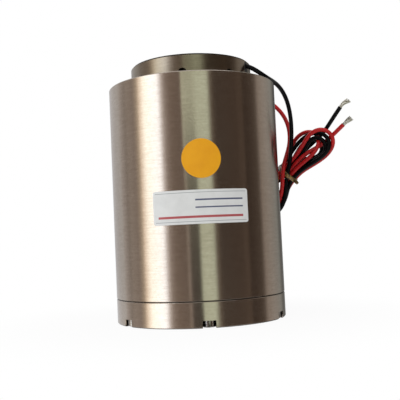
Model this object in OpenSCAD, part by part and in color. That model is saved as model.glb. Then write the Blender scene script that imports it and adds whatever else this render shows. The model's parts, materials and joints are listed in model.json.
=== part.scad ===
// Voice coil motor: a steel housing with a centre core and three rows of arc magnets,
// and a moving coil whose holder rises out of the open top. Millimetres, +Z up.
// The origin is the centre of the flat base. The front of the motor faces -Y.

/* [Housing] */
// Outer diameter of the housing and of the base
body_d = 80; // [79:0.5:84]
// Height of the housing with its base
body_h = 110.5; // [100:0.5:125]
// Wall of the housing tube
tube_wall = 6.5; // [6:0.1:7.5]
// Chamfer of the outer edges
edge_chamfer = 0.4; // [0.2:0.1:0.8]
// Height of the ring that covers the magnets at the open end
cover_h = 5; // [3:0.5:7]

/* [Base] */
// Height of the base disc up to its seam with the tube
base_h = 11.3; // [10:0.1:14]
// Height of the spigot that centres the tube
spigot_h = 4; // [3:0.5:6]
// Number of open slots round the bottom edge, one for each tube screw
slot_count = 6; // [4:1:8]
// Width of a bottom slot
slot_w = 5.8; // [5.7:0.1:6.6]
// Height of a bottom slot
slot_h = 3.2; // [3.1:0.1:4]
// Angle of the first slot from the front
slot_turn = 4.5; // [0:0.5:20]
// Steel left between the core's stub and the heads of the core screws
stub_web = 1.55; // [1:0.05:3]
// How far inside the tube screws the tapped mounting holes lie
mount_inset = 7.75; // [7:0.25:9]
// Tapping diameter of the mounting holes
base_tap_d = 4.2; // [3.3:0.1:5]
// Depth of the mounting holes
base_tap_depth = 10; // [8:0.5:12]

/* [Magnetic circuit] */
// Radial thickness of a magnet
magnet_t = 3.85; // [3:0.05:4.2]
// Arc magnets in one row
magnet_count = 8; // [6:1:12]
// Gap between neighbouring magnets in a row
magnet_gap = 0.2; // [0.1:0.05:0.6]
// Height of the spacer rings between the rows
spacer_h = 4; // [2:0.5:6]
// Height of the spacer ring under the lowest row
bottom_spacer_h = 4.2; // [3:0.1:6]
// Air gap between the coil flanges and the magnets
coil_gap = 0.8; // [0.5:0.05:1]
// Air gap between the core and the bobbin
core_gap = 0.6; // [0.4:0.05:0.9]
// How far the core ends below the rim
core_drop = 2.5; // [1:0.5:5]
// Bore of the core and of the coil holder
shaft_d = 12; // [8:0.5:14]
// Distance of the core screws from the outside of the core
core_screw_inset = 5.1; // [4:0.1:5.6]

/* [Moving coil] */
// Travel of the coil
stroke = 8.7; // [4:0.1:10]
// Radial thickness of the windings
winding_t = 3; // [2:0.1:3.4]
// Diameter of the enamelled wire of the windings
wire_d = 0.9; // [0.6:0.05:1.5]
// Wall of the bobbin under the windings
bobbin_wall = 1.2; // [0.8:0.1:1.6]
// How far a flange stands above its winding
flange_proud = 0.4; // [0.2:0.1:0.6]
// Thickness of a coil flange
flange_t = 1.5; // [1:0.1:2.5]
// Gap between the coil holder and the magnets
holder_gap = 0.6; // [0.4:0.05:0.8]
// How far the coil holder stands above the rim at rest
holder_rise = 10.5; // [9:0.1:14]
// Thickness of the top plate of the coil holder
plate_t = 6; // [5:0.1:7]
// Chamfer of the top edge of the coil holder
holder_chamfer = 0.8; // [0.3:0.1:1.5]
// Length of the spigot by which the holder sits in the bobbin
holder_spigot_h = 7.5; // [6:0.5:9]
// Vent holes in the skirt of the coil holder
vent_count = 8; // [4:1:8]
// Diameter of a vent hole
vent_d = 4; // [2:0.1:4.4]
// Angle of the first vent hole from the front
vent_turn = -7.5; // [-12:0.5:0]
// Tapped holes in the top plate
holder_hole_count = 6; // [4:1:8]
// Distance of the tapped holes in the top plate from the inside of the skirt
holder_hole_inset = 2.2; // [2.1:0.1:6]
// Tapping diameter of the holes in the top plate
holder_tap_d = 3.3; // [2.5:0.1:3.4]
// Height of the rubber bumper ring under the coil
bumper_h = 2; // [1:0.1:3]

/* [Leads] */
// Diameter of a lead over its insulation
lead_d = 2.1; // [2:0.1:2.3]
// Width of the groove in which the leads leave the holder
groove_w = 4; // [3.8:0.1:4.4]
// Angle of the lead groove from the front
groove_turn = 64; // [63:0.5:65]
// Thickness of the tied hank
hank_t = 6; // [5:0.1:6]

/* [Labels] */
// Width of the white label along the curve
label_w = 43; // [30:1:60]
// Height of the white label
label_h = 14.6; // [10:0.1:20]
// Diameter of the amber sticker
sticker_d = 17; // [12:0.5:24]

/* [Hidden] */
$fn = 96;
eps = 0.01;
glue = 0.05;
seat = 0.05;
screw_clear = 0.03;
wind_clear = 0.02;
body_r = body_d / 2;
tube_r = body_r - tube_wall;
ring_r = tube_r - glue;
magnet_r = ring_r - magnet_t;
flange_r = magnet_r - coil_gap;
winding_r = flange_r - flange_proud;
groove_floor_r = winding_r - winding_t;
bobbin_r = groove_floor_r - bobbin_wall;
core_r = bobbin_r - core_gap;
holder_r = magnet_r - holder_gap;
holder_hole_r = bobbin_r - holder_hole_inset;
cover_clear = 0.35;
shaft_r = shaft_d / 2;

// Heights of the stack of rings inside the tube
spigot_top = base_h + spigot_h;
stack_low = spigot_top + bottom_spacer_h;
stack_high = body_h - cover_h;
row_count = 3;
magnet_l = (stack_high - stack_low - (row_count - 1) * spacer_h) / row_count;
row_pitch = magnet_l + spacer_h;
core_top = body_h - core_drop;

// Heights of the moving coil at rest on its bumper
end_margin = 0.15;
coil_l = magnet_l - stroke - 2 * end_margin;
coil_low = stack_low + end_margin;
bobbin_low = spigot_top + bumper_h + seat;
holder_top = body_h + holder_rise;
plate_low = holder_top - plate_t;
coil_high = coil_low + (row_count - 1) * row_pitch + coil_l;
shoulder_z = stack_high + 0.5;
spigot_low = shoulder_z - holder_spigot_h;
sleeve_wall = 2;
sleeve_r = flange_r - sleeve_wall;
vent_z = plate_low - vent_d / 2 - 0.5;

// Screws: shank radius, head radius, head height, socket across flats
m3_r = 1.5;
m3_head_r = 2.75;
m3_head_h = 3;
m3_l = 14;
m3_key = 2.5;
m5_r = 2.5;
m5_head_r = 4.25;
m5_head_h = 5;
m5_l = 20;
m5_key = 4;
head_clear = 0.5;
m25_r = 1.25;
m25_key = 1.3;
tube_screw_r = tube_r + tube_wall / 2;
mount_r = tube_screw_r - mount_inset;
core_screw_r = core_r - core_screw_inset;
counterbore_r = m5_head_r + head_clear;
stub_r = core_screw_r - counterbore_r - stub_web;
core_counterbore = 6;
mouth_chamfer = 0.4;
stub_recess = 1;
bore_chamfer = 0.5;
core_screw_count = 4;
mount_count = 4;
fix_screw_count = 6;
fix_turn = 38;
fix_z = spigot_low + holder_spigot_h / 2;

// Lead groove and grommet
groove_depth = 3;
groove_r = holder_r - groove_depth;
groove_top = holder_top - 0.9;
notch_w = 2.4;
lead_r = lead_d / 2;
grommet_low = shoulder_z - 3;

// Label and sticker: a film on the tube
film_t = 0.2;
film_r = body_r + 0.02;
label_turn = 2.7;
label_low = 44.2;
label_corner = 1;
sticker_turn = 4;
sticker_z = 72.2;

// Route of the black lead, from the groove over the rim and down to the hank
black_route = [
    [24.4, -11.9, 118.7], [26.4, -12.9, 117.9], [28.5, -13.9, 116.8], [31, -14.7, 114.9],
    [33.6, -14.5, 113], [35.8, -12.4, 112], [37.6, -8.6, 112], [39.4, -4, 112.1],
    [42.2, 0.6, 111.4], [45.3, 4.3, 108.5], [47.8, 7.7, 103.7], [49.3, 11.1, 97.6],
    [50, 14.6, 90.8], [49.9, 18.2, 84], [49.5, 21.2, 77.6], [49, 23.2, 71.6]
];

// Route of the red lead, behind the black one and over the rim at the back
red_route = [
    [24.4, -11.9, 112.9], [26.5, -12.9, 112.7], [28.7, -13.8, 112.5], [31.4, -13.3, 112.2],
    [33.6, -10.9, 112], [34.6, -7, 112], [34.8, -2.4, 112], [34.6, 2.6, 112],
    [33.8, 8, 112], [32.5, 13.4, 112], [31.2, 18.6, 112.1], [31.4, 23.4, 112.4],
    [34, 27, 112.2], [38, 28.8, 110.6], [42, 28.8, 107.8], [45.9, 27.8, 104],
    [48.7, 26.6, 99.1], [50.2, 25.4, 93], [50.1, 24.6, 87], [49.2, 24, 81.4],
    [48.2, 24, 76.4], [47.7, 24.4, 72.6]
];

// Free ends of the leads that stand out of the upper loop of the hank
black_tail = [[63.4, 16.6, 84.4], [66.6, 13.6, 89.4], [70.2, 10.2, 95.2], [73.8, 7.4, 100.2]];
red_tail = [[67.4, 15.0, 85.0], [70.2, 12.6, 87.2], [72.8, 10.6, 89.4], [75.2, 8.8, 91.6]];

// Hank: two loops that meet at a tied waist, in an upright plane
hank_at = [48, 25.5, 69.8];
hank_turn = 27;
loop_r = 8.7;
loop_reach = 21.2;
waist_half = 4.7;
upper_angle = 37;
lower_angle = 232;
tie_angle = 45;
tie_w = 2.4;
tie_t = 0.7;
tie_clear = 0.5;
tie_tail_l = 3;
tin_l = 5.6;
tin_r = 0.65;
tin_tip_r = 1.1;

// A turned ring between two radii and two heights
module ring(r_in, r_out, z_low, z_high) {
    rotate_extrude() translate([r_in, z_low]) square([r_out - r_in, z_high - z_low]);
}

// Places its children on a circle, the first one at an angle from the front
module around(count, first, r) {
    for (i = [0 : count - 1])
        rotate([0, 0, first - 90 + i * 360 / count]) translate([r, 0, 0]) children();
}

// Socket head cap screw, its head down and its shank up from z = 0
module cap_screw(r, head_r, head_h, shank_l, key) {
    chamfer = head_r * 0.12;
    difference() {
        rotate_extrude() polygon([
            [0, -head_h], [head_r - chamfer, -head_h], [head_r, -head_h + chamfer],
            [head_r, 0], [r, 0], [r, shank_l - r * 0.4], [r * 0.6, shank_l], [0, shank_l]
        ]);
        translate([0, 0, -head_h - eps]) cylinder(d = key / cos(30), h = head_h * 0.55, $fn = 6);
    }
}

// Counterbored screw hole, its mouth at z = 0 and facing down
module screw_hole(r, head_r, depth, l) {
    translate([0, 0, -eps]) cylinder(r = head_r, h = depth + eps);
    cylinder(r = r, h = l);
}

// Tapped hole with a chamfered mouth at z = 0 that faces down
module tapped_hole(r, depth) {
    translate([0, 0, -eps]) cylinder(r = r, h = depth + eps);
    translate([0, 0, -eps])
        cylinder(r1 = r + mouth_chamfer + eps, r2 = r, h = mouth_chamfer + eps);
}

// Smooth line through a route: an even cubic curve with its ends held
function bend_point(p, i, t) =
    let (a = p[i], b = p[i + 1], c = p[i + 2], d = p[i + 3])
    (pow(1 - t, 3) * a + (3 * t * t * t - 6 * t * t + 4) * b
        + (-3 * t * t * t + 3 * t * t + 3 * t + 1) * c + t * t * t * d) / 6;
function held(p) =
    let (n = len(p) - 1)
    concat([2 * p[0] - p[1]], p, [2 * p[n] - p[n - 1]]);
function smooth_line(p, steps) =
    let (h = held(p), last = len(h) - 4)
    concat(
        [for (i = [0 : last], k = [0 : steps - 1]) bend_point(h, i, k / steps)],
        [bend_point(h, last, 1)]
    );
function unit(v) = v / norm(v);
function across(v, t) = unit(v - (v * t) * t);
function directions(p) =
    [for (i = [0 : len(p) - 1]) unit(p[min(i + 1, len(p) - 1)] - p[max(i - 1, 0)])];
function sides(dirs, start) =
    [for (i = 0, s = across(start, dirs[0]); i < len(dirs);
        i = i + 1, s = i < len(dirs) ? across(s, dirs[i]) : s) s];

// Round tube swept along a line of points
module swept_tube(line, r, start_side) {
    count = 8;
    dirs = directions(line);
    side = sides(dirs, start_side);
    points = [for (i = [0 : len(line) - 1]) for (k = [0 : count - 1])
        line[i] + r * (cos(k * 360 / count) * side[i]
            + sin(k * 360 / count) * cross(dirs[i], side[i]))];
    walls = [for (i = [0 : len(line) - 2]) for (k = [0 : count - 1])
        let (a = i * count + k, b = i * count + (k + 1) % count)
        each [[a, a + count, b + count], [a, b + count, b]]];
    ends = [
        [for (k = [0 : count - 1]) k],
        [for (k = [0 : count - 1]) (len(line) - 1) * count + count - 1 - k]
    ];
    polyhedron(points, concat(walls, ends), convexity = 6);
}

module housing_tube() {
    color([0.62, 0.58, 0.53]) difference() {
        rotate_extrude() polygon([
            [tube_r, base_h], [body_r - edge_chamfer, base_h],
            [body_r, base_h + edge_chamfer], [body_r, body_h - edge_chamfer],
            [body_r - edge_chamfer, body_h], [tube_r, body_h]
        ]);
        around(slot_count, slot_turn, tube_screw_r)
            translate([0, 0, base_h - eps])
                cylinder(r = m3_r + screw_clear, h = slot_h + m3_l - base_h + 1);
    }
}

module base_yoke() {
    slot_reach = body_r - tube_screw_r + 1;
    color([0.62, 0.58, 0.53]) difference() {
        rotate_extrude() polygon([
            [stub_r + seat, 0], [body_r - edge_chamfer, 0], [body_r, edge_chamfer],
            [body_r, base_h - edge_chamfer], [body_r - edge_chamfer, base_h],
            [tube_r - glue, base_h], [tube_r - glue, spigot_top - edge_chamfer],
            [tube_r - glue - edge_chamfer, spigot_top], [stub_r + seat, spigot_top]
        ]);
        around(slot_count, slot_turn, tube_screw_r) {
            translate([0, 0, -eps]) cylinder(d = slot_w, h = slot_h + eps);
            translate([0, -slot_w / 2, -eps]) cube([slot_reach, slot_w, slot_h + eps]);
            cylinder(r = m3_r + screw_clear, h = spigot_top);
        }
        around(core_screw_count, slot_turn, core_screw_r)
            screw_hole(m5_r + screw_clear, counterbore_r, core_counterbore, spigot_top + eps);
        around(mount_count, slot_turn + 45, mount_r) tapped_hole(base_tap_d / 2, base_tap_depth);
    }
}

module base_screws() {
    color([0.75, 0.74, 0.72]) around(slot_count, slot_turn, tube_screw_r)
        translate([0, 0, slot_h]) cap_screw(m3_r, m3_head_r, m3_head_h, m3_l, m3_key);
}

module centre_core() {
    r = shaft_r;
    core_chamfer = 1;
    screw_depth = core_counterbore + m5_l - spigot_top + 1.5;
    color([0.55, 0.54, 0.52]) difference() {
        rotate_extrude() polygon([
            [r + bore_chamfer, stub_recess], [stub_r - edge_chamfer, stub_recess],
            [stub_r, stub_recess + edge_chamfer], [stub_r, spigot_top],
            [core_r, spigot_top], [core_r, core_top - core_chamfer],
            [core_r - core_chamfer, core_top], [r + bore_chamfer, core_top],
            [r, core_top - bore_chamfer], [r, stub_recess + bore_chamfer]
        ]);
        around(core_screw_count, slot_turn, core_screw_r)
            translate([0, 0, spigot_top - eps])
                cylinder(r = m5_r + screw_clear, h = screw_depth);
    }
}

module core_screws() {
    color([0.2, 0.2, 0.21]) around(core_screw_count, slot_turn, core_screw_r)
        translate([0, 0, core_counterbore])
            cap_screw(m5_r, m5_head_r, m5_head_h, m5_l, m5_key);
}

// One row of arc magnets, set round the wall with even gaps
module magnet_row(row) {
    arc = 360 / magnet_count;
    gap_angle = magnet_gap / magnet_r * 180 / PI;
    color([0.7, 0.7, 0.72]) translate([0, 0, stack_low + row * row_pitch])
        for (i = [0 : magnet_count - 1])
            rotate([0, 0, i * arc + gap_angle / 2])
                rotate_extrude(angle = arc - gap_angle)
                    translate([magnet_r, 0]) square([magnet_t, magnet_l]);
}

module spacer_ring(row) {
    z = stack_low + (row + 1) * magnet_l + row * spacer_h;
    color([0.72, 0.72, 0.7]) ring(magnet_r, ring_r, z, z + spacer_h);
}

module spacer_ring_bottom() {
    color([0.72, 0.72, 0.7]) ring(magnet_r, ring_r, spigot_top, stack_low);
}

module cover_ring() {
    chamfer = edge_chamfer;
    r_in = holder_r + cover_clear;
    color([0.66, 0.64, 0.6]) rotate_extrude() polygon([
        [r_in, stack_high], [ring_r, stack_high], [ring_r, body_h],
        [r_in + chamfer, body_h], [r_in, body_h - chamfer]
    ]);
}

module bumper_ring() {
    side_clear = 0.3;
    color([0.12, 0.12, 0.12])
        ring(core_r + side_clear, magnet_r - side_clear, spigot_top, spigot_top + bumper_h);
}

// Points along an arc, with both its ends
function arc(centre, r, a_first, a_last, steps = 6) =
    [for (k = [0 : steps])
        let (a = a_first + (a_last - a_first) * k / steps) centre + r * [cos(a), sin(a)]];

// Thin film on the tube in the shape of a flat outline, at an angle and a height
module on_tube(turn, z, h) {
    intersection() {
        ring(film_r, film_r + film_t, z - h, z + h);
        rotate([0, 0, turn]) translate([0, 0, z]) rotate([90, 0, 0])
            linear_extrude(height = body_r + 1) children();
    }
}

module white_label() {
    half_angle = label_w / body_r * 90 / PI;
    half_w = body_r * sin(half_angle);
    in_w = half_w - label_corner;
    in_h = label_h / 2 - label_corner;
    corners = [[in_w, in_h], [-in_w, in_h], [-in_w, -in_h], [in_w, -in_h]];
    outline = [for (i = [0 : 3]) each arc(corners[i], label_corner, 90 * i, 90 * i + 90)];
    color([0.95, 0.95, 0.94]) on_tube(label_turn, label_low + label_h / 2, label_h)
        polygon(outline);
}

module amber_sticker() {
    color([0.9, 0.62, 0.1]) on_tube(sticker_turn, sticker_z, sticker_d)
        circle(d = sticker_d);
}

// Outline of the lead groove as seen from outside: upright, with a round top
module groove_outline(z_low, inset) {
    r = groove_w / 2 - inset;
    arch_z = groove_top - groove_w / 2;
    translate([z_low, -r]) square([arch_z - z_low, 2 * r]);
    translate([arch_z, 0]) circle(r = r);
}

// Stands a groove outline upright at a radius, on the side of the lead groove
module at_groove(r) {
    rotate([0, 0, groove_turn - 90]) translate([r, 0, 0]) rotate([0, -90, 0]) children();
}

module lead_groove(z_low) {
    at_groove(holder_r + 1) linear_extrude(height = groove_depth + 1)
        groove_outline(z_low, 0);
}

// Notch in the flanges between the windings, where the wire crosses from one to the next
module crossover_notch() {
    depth = flange_r - groove_floor_r;
    rotate([0, 0, groove_turn - 90])
        translate([flange_r - depth / 2, -notch_w / 2, coil_low + coil_l - eps])
            cube([depth, notch_w, coil_high - coil_l - coil_low - coil_l + 2 * eps]);
}

module fix_holes() {
    around(fix_screw_count, fix_turn, bobbin_r - 1)
        translate([0, 0, fix_z]) rotate([0, 90, 0])
            cylinder(r = m25_r + screw_clear, h = flange_r - bobbin_r + 2);
}

module coil_holder() {
    r = shaft_r;
    inner_round = 1.5;
    color([0.6, 0.57, 0.52]) difference() {
        rotate_extrude() difference() {
            polygon([
                [r, plate_low], [bobbin_r - inner_round, plate_low],
                [bobbin_r, plate_low - inner_round],
                [bobbin_r, spigot_low], [sleeve_r - seat - edge_chamfer, spigot_low],
                [sleeve_r - seat, spigot_low + edge_chamfer], [sleeve_r - seat, shoulder_z],
                [holder_r, shoulder_z], [holder_r, holder_top - holder_chamfer],
                [holder_r - holder_chamfer, holder_top],
                [r + bore_chamfer, holder_top], [r, holder_top - bore_chamfer]
            ]);
            translate([bobbin_r - inner_round, plate_low - inner_round])
                circle(r = inner_round);
        }
        around(vent_count, vent_turn, bobbin_r - 1) translate([0, 0, vent_z])
            rotate([0, 90, 0]) cylinder(d = vent_d, h = holder_r - bobbin_r + 2);
        around(holder_hole_count, 0, holder_hole_r) translate([0, 0, holder_top])
            mirror([0, 0, 1]) tapped_hole(holder_tap_d / 2, plate_t + 1);
        lead_groove(spigot_low - 1);
        fix_holes();
    }
}

module bobbin() {
    sleeve_floor = spigot_low - seat;
    color([0.78, 0.78, 0.76]) difference() {
        union() {
            ring(bobbin_r, groove_floor_r, bobbin_low, sleeve_floor);
            ring(bobbin_r, flange_r, bobbin_low, coil_low);
            for (row = [0 : row_count - 1]) {
                z = coil_low + row * row_pitch;
                if (row > 0) ring(bobbin_r, flange_r, z - flange_t, z);
                if (row < row_count - 1)
                    ring(bobbin_r, flange_r, z + coil_l, z + coil_l + flange_t);
            }
            ring(bobbin_r, flange_r, coil_high, sleeve_floor);
            ring(sleeve_r, flange_r, sleeve_floor, shoulder_z);
        }
        lead_groove(coil_high - eps);
        crossover_notch();
        fix_holes();
    }
}

module holder_screws() {
    screw_l = flange_r - bobbin_r - 0.4;
    color([0.25, 0.25, 0.26]) around(fix_screw_count, fix_turn, bobbin_r + 0.2)
        translate([0, 0, fix_z]) rotate([0, 90, 0]) difference() {
            cylinder(r = m25_r, h = screw_l);
            translate([0, 0, screw_l - 1.2]) cylinder(d = m25_key / cos(30), h = 2, $fn = 6);
        }
}

// One winding, with the round backs of its outer layer of wire
module coil(row) {
    z = coil_low + row * row_pitch;
    turns = floor(coil_l / wire_d);
    pitch = coil_l / turns;
    backs = [for (i = [0 : turns - 1]) each
        arc([winding_r - pitch / 2, z + (i + 0.5) * pitch], pitch / 2, -72, 72, 4)];
    color([0.72, 0.4, 0.2]) rotate_extrude() polygon(concat(
        [[groove_floor_r + wind_clear, z], [winding_r - pitch / 2, z]], backs,
        [[winding_r - pitch / 2, z + coil_l], [groove_floor_r + wind_clear, z + coil_l]]
    ));
}

// Rubber insert that fills the lead groove and holds the start of both leads
module lead_grommet() {
    side_clear = 0.05;
    color([0.08, 0.08, 0.08]) difference() {
        intersection() {
            at_groove(holder_r + 1) linear_extrude(height = groove_depth + 1 - side_clear)
                groove_outline(grommet_low, side_clear);
            ring(groove_r - 1, holder_r, grommet_low - 1, groove_top);
        }
        lead_socket(black_route);
        lead_socket(red_route);
    }
}

// Hole for the first straight stretch of a lead
module lead_socket(route) {
    hole_r = lead_r + 0.06;
    ahead = unit(route[1] - route[0]);
    translate(route[0] - 0.1 * ahead) point_along(ahead) cylinder(r = hole_r, h = 6);
}

module lead_black() {
    color([0.05, 0.05, 0.06]) swept_tube(smooth_line(black_route, 2), lead_r, [0, 0, 1]);
}

module lead_red() {
    color([0.75, 0.08, 0.08]) swept_tube(smooth_line(red_route, 2), lead_r, [0, 0, 1]);
}

module tail_black() {
    color([0.05, 0.05, 0.06]) swept_tube(smooth_line(black_tail, 1), lead_r, [0, 1, 0]);
}

module tail_red() {
    color([0.75, 0.08, 0.08]) swept_tube(smooth_line(red_tail, 1), lead_r, [0, 1, 0]);
}

// Turns its children so that their +Z points along a direction
module point_along(v) {
    rotate([0, acos(v[2] / norm(v)), atan2(v[1], v[0])]) children();
}

// Stripped and tinned end of a lead, a little wider at its tip
module tinned_end(tail) {
    n = len(tail) - 1;
    color([0.78, 0.78, 0.76]) translate(tail[n]) point_along(tail[n] - tail[n - 1])
        cylinder(r1 = tin_r, r2 = tin_tip_r, h = tin_l);
}

// Outline of the hank: two round loops and the straight runs from them to the tied waist
function polar(r, a) = r * [cos(a), sin(a)];
function angle_of(v) = atan2(v[1], v[0]);
function tangent_turn(v) = acos(loop_r / norm(v));
function loop_arc(axis) =
    let (
        centre = polar(loop_reach, axis),
        right = polar(waist_half, axis - 90) - centre,
        left = polar(waist_half, axis + 90) - centre,
        first = angle_of(right) + tangent_turn(right),
        last = angle_of(left) - tangent_turn(left)
    )
    arc(centre, loop_r, first, last < first ? last + 360 : last, 24);

module in_hank_plane() {
    translate(hank_at) rotate([90, 0, -hank_turn]) children();
}

module lead_hank() {
    color([0.35, 0.06, 0.06]) in_hank_plane() translate([0, 0, -hank_t / 2])
        linear_extrude(height = hank_t) polygon(concat(
            loop_arc(upper_angle), [polar(waist_half, tie_angle + 90)],
            loop_arc(lower_angle), [polar(waist_half, tie_angle - 90)]
        ));
}

module wire_tie() {
    half_w = waist_half + tie_clear;
    half_t = hank_t / 2 + 0.05;
    color([0.5, 0.42, 0.25]) in_hank_plane() rotate([0, 0, tie_angle]) {
        translate([-tie_w / 2, 0, 0]) rotate([90, 0, 90]) linear_extrude(height = tie_w)
            difference() {
                square(2 * [half_w + tie_t, half_t + tie_t], center = true);
                square(2 * [half_w, half_t], center = true);
            }
        translate([0, -half_w - tie_t, half_t - 1.5]) rotate([90, 0, -20])
            cylinder(r = 0.8, h = tie_tail_l);
    }
}

housing_tube();
base_yoke();
base_screws();
centre_core();
core_screws();
magnet_row(0);  // magnet_row_lower
magnet_row(1);  // magnet_row_middle
magnet_row(2);  // magnet_row_upper
spacer_ring_bottom();
spacer_ring(0);  // spacer_ring_lower
spacer_ring(1);  // spacer_ring_upper
cover_ring();
bumper_ring();
white_label();
amber_sticker();
coil_holder();
bobbin();
holder_screws();
coil(0);  // coil_lower
coil(1);  // coil_middle
coil(2);  // coil_upper
lead_grommet();
lead_black();
lead_red();
lead_hank();
wire_tie();
tail_black();
tail_red();
tinned_end(black_tail);  // tinned_end_black
tinned_end(red_tail);  // tinned_end_red
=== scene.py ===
import json
import math

import bmesh
import bpy
import numpy as np
from mathutils import Matrix, Vector


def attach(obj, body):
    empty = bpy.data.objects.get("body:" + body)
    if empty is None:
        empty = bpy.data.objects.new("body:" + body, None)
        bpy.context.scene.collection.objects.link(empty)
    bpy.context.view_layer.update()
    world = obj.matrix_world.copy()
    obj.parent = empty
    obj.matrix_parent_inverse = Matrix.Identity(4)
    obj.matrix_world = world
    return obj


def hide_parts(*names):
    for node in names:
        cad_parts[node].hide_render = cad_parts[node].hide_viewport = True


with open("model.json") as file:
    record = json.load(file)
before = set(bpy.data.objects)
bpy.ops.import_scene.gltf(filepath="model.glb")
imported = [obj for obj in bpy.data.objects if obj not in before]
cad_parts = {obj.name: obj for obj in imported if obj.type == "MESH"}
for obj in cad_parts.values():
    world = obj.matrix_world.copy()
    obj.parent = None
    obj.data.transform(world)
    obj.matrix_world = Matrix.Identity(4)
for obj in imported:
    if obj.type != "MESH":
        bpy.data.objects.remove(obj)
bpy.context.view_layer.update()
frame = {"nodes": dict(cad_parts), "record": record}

nodes = frame["nodes"]
scene = bpy.context.scene
mm = 0.001
tiny = 1e-9  # keeps a division from failing

cameraView = {
    "place": (-0.000117, -0.329865, 0.038019),  # metres
    "yaw": -0.0054,   # radians, positive to the left
    "pitch": 0.0561,
    "roll": 0.0457,
    "lens": 61.391,
    "sensor": 36.0,
    "clip": (0.01, 20),
}


def newObject(name, data):
    piece = bpy.data.objects.new(name, data)
    scene.collection.objects.link(piece)
    return piece


def makeCamera(view):
    yaw, pitch, roll = view["yaw"], view["pitch"], view["roll"]
    level = math.cos(pitch)
    right = Vector((math.cos(yaw), math.sin(yaw), 0))
    ahead = Vector((-math.sin(yaw) * level, math.cos(yaw) * level, math.sin(pitch)))
    down = ahead.cross(right)
    x = math.cos(roll) * right + math.sin(roll) * down
    y = math.sin(roll) * right - math.cos(roll) * down
    data = bpy.data.cameras.new("camera")
    data.sensor_width = view["sensor"]
    data.lens = view["lens"]
    data.clip_start, data.clip_end = view["clip"]
    camera = newObject("camera", data)
    camera.matrix_world = Matrix((
        (x.x, y.x, -ahead.x, view["place"][0]),
        (x.y, y.y, -ahead.y, view["place"][1]),
        (x.z, y.z, -ahead.z, view["place"][2]),
        (0, 0, 0, 1),
    ))
    scene.camera = camera


makeCamera(cameraView)
print("camera made")

# Where the hank lies, as in the solids
hankPlace = {
    "centre": (48, 25.5, 69.8),  # millimetres
    "turn": 27,                  # degrees
    "tieAngle": 45,
}

leadShape = {
    "diameter": 2.1,      # millimetres, as all sizes here
    "step": 1.9,          # spacing of the points of a lead
    "routeSteps": 8,      # curve points for each point of a route
    "turnSteps": 10,      # curve points for each point of the turns
    "handOver": 14,       # curve points at a route's end that the turns take over
    "heldStart": 60,      # length of the stretch that follows the solid lead
    "loosening": 6,       # points over which a lead comes loose after that stretch
    "heldEnd": 10,        # points over which the free end is held again
    "slack": (0.2, 0.95),  # least and most that such a point may move, as a share
    "tightest": 5.4,      # radius of the tightest bend
    "tieHalf": (5.1, 3.7),  # half width and half thickness of the tied bundle
    "tieFront": -0.2,     # how far the bundle's middle lies in front of the hank's plane
    "overTie": 115,       # length of the red lead whose strand lies over the tie
    "clearOf": 41.4,      # distance from the axis to the middle of a strand
    "clearBelow": 108,
    "sides": 6,           # bevel resolution of the curve
}

# How the strands are settled. Each share is taken once in a round.
settling = {
    "rounds": 360,
    "spacing": 1.015,     # distance kept between strands, in diameters
    "push": 0.42,         # share of an overlap that is cleared
    "longestPush": 0.9,   # millimetres, before that share
    "neighbours": 4,      # points of one lead nearer in order than this don't push each other
    "pullHome": 0.006,    # share of the way back to the laid line, falling to none
    "smoothing": 0.06,
    "grip": 1.3,          # the tie's grip at its middle, where 1 is full
    "gripFade": 5,        # millimetres along the strands over which it falls by 1
    "squeeze": 0.25,      # share of the way into the tie
    "repeats": 2,         # times that spacing and bends are put right
    "lengthPull": 0.9,    # share of a wrong spacing that is put right
    "bendPull": 0.55,     # the same for a bend that is too tight
    "bendSpans": (2, 4),  # steps between the points that measure a bend
}

# Routes from the holder to the hank, as in the solids, in millimetres
blackRoute = [
    (24.4, -11.9, 118.7), (26.4, -12.9, 117.9), (28.5, -13.9, 116.8), (31.0, -14.7, 114.9),
    (33.6, -14.5, 113.0), (35.8, -12.4, 112.0), (37.6, -8.6, 112.0), (39.4, -4.0, 112.1),
    (42.2, 0.6, 111.4), (45.3, 4.3, 108.5), (47.8, 7.7, 103.7), (49.3, 11.1, 97.6),
    (50.0, 14.6, 90.8), (49.9, 18.2, 84.0), (49.5, 21.2, 77.6), (49.0, 23.2, 71.6),
]
redRoute = [
    (24.4, -11.9, 112.9), (26.5, -12.9, 112.7), (28.7, -13.8, 112.5), (31.4, -13.3, 112.2),
    (33.6, -10.9, 112.0), (34.6, -7.0, 112.0), (34.8, -2.4, 112.0), (34.6, 2.6, 112.0),
    (33.8, 8.0, 112.0), (32.5, 13.4, 112.0), (31.2, 18.6, 112.1), (31.4, 23.4, 112.4),
    (34.0, 27.0, 112.2), (38.0, 28.8, 110.6), (42.0, 28.8, 107.8), (45.9, 27.8, 104.0),
    (48.7, 26.6, 99.1), (50.2, 25.4, 93.0), (50.1, 24.6, 87.0), (49.2, 24.0, 81.4),
    (48.2, 24.0, 76.4), (47.7, 24.4, 72.6),
]
# Free ends, as in the solids
blackTail = [(63.4, 16.6, 84.4), (66.6, 13.6, 89.4), (70.2, 10.2, 95.2), (73.8, 7.4, 100.2)]
redTail = [(67.4, 15.0, 85.0), (70.2, 12.6, 87.2), (72.8, 10.6, 89.4), (75.2, 8.8, 91.6)]

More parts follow.
